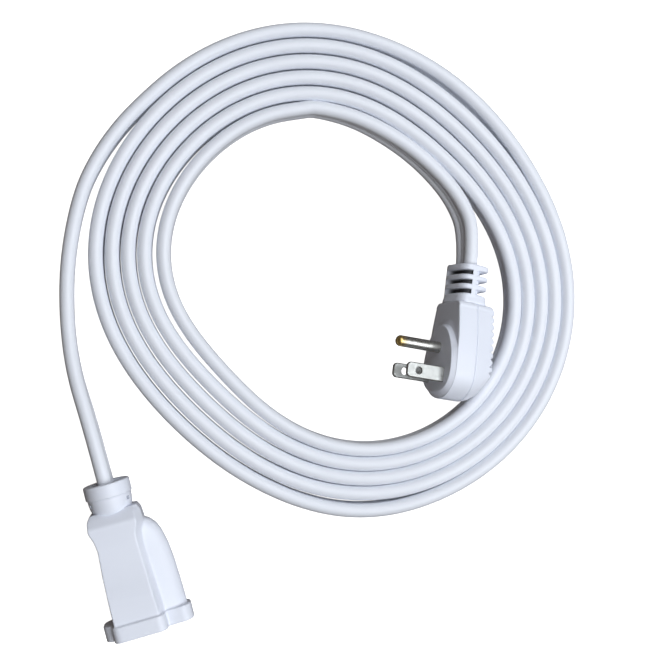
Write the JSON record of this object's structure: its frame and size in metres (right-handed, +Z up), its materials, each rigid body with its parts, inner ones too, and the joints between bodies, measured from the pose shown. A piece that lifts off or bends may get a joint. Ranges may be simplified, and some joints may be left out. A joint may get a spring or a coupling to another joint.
{
  "type": "extension cord",
  "caption": "White flat household extension cord in a flat coil, with a right-angle grounding plug at one end and a connector at the other.",
  "frame": {"origin": "bottom centre of the box around the plug and the connector, on the surface that the cord lies on", "axes": "+Z up, +X to the right and +Y away from the socket end, with the connector at the low X end and the plug at the high X end"},
  "size_m": [0.2238, 0.262, 0.0304],
  "materials": {
    "cord_jacket": "satin extruded PVC",
    "moulded_pvc": "smooth satin moulded PVC",
    "inner_plastic": "hard moulded plastic",
    "nickel_plate": "nickel-plated brass",
    "contact_brass": "stamped",
    "copper": "bare stranded copper",
    "black_insulation": "satin",
    "white_insulation": "satin",
    "green_insulation": "satin"
  },
  "bodies": {
    "root": {"cord_outer_lead": "cord_jacket", "cord_coil": "cord_jacket", "cord_plug_lead": "cord_jacket", "plug_front_body": "moulded_pvc", "plug_rear_body": "moulded_pvc", "plug_strain_relief": "moulded_pvc", "plug_prong_carrier": "inner_plastic", "plug_hot_blade": "nickel_plate", "plug_neutral_blade": "nickel_plate", "plug_ground_pin": "nickel_plate", "plug_cord_end": "cord_jacket", "plug_hot_wire": "black_insulation", "plug_neutral_wire": "white_insulation", "plug_ground_wire": "green_insulation", "plug_hot_copper": "copper", "plug_neutral_copper": "copper", "plug_ground_copper": "copper", "connector_body": "moulded_pvc", "connector_strain_relief": "moulded_pvc", "connector_contact_carrier": "inner_plastic", "connector_hot_contact": "contact_brass", "connector_neutral_contact": "contact_brass", "connector_ground_contact": "contact_brass", "connector_cord_end": "cord_jacket", "connector_hot_wire": "black_insulation", "connector_neutral_wire": "white_insulation", "connector_ground_wire": "green_insulation", "connector_hot_copper": "copper", "connector_neutral_copper": "copper", "connector_ground_copper": "copper"}
  },
  "joints": []
}
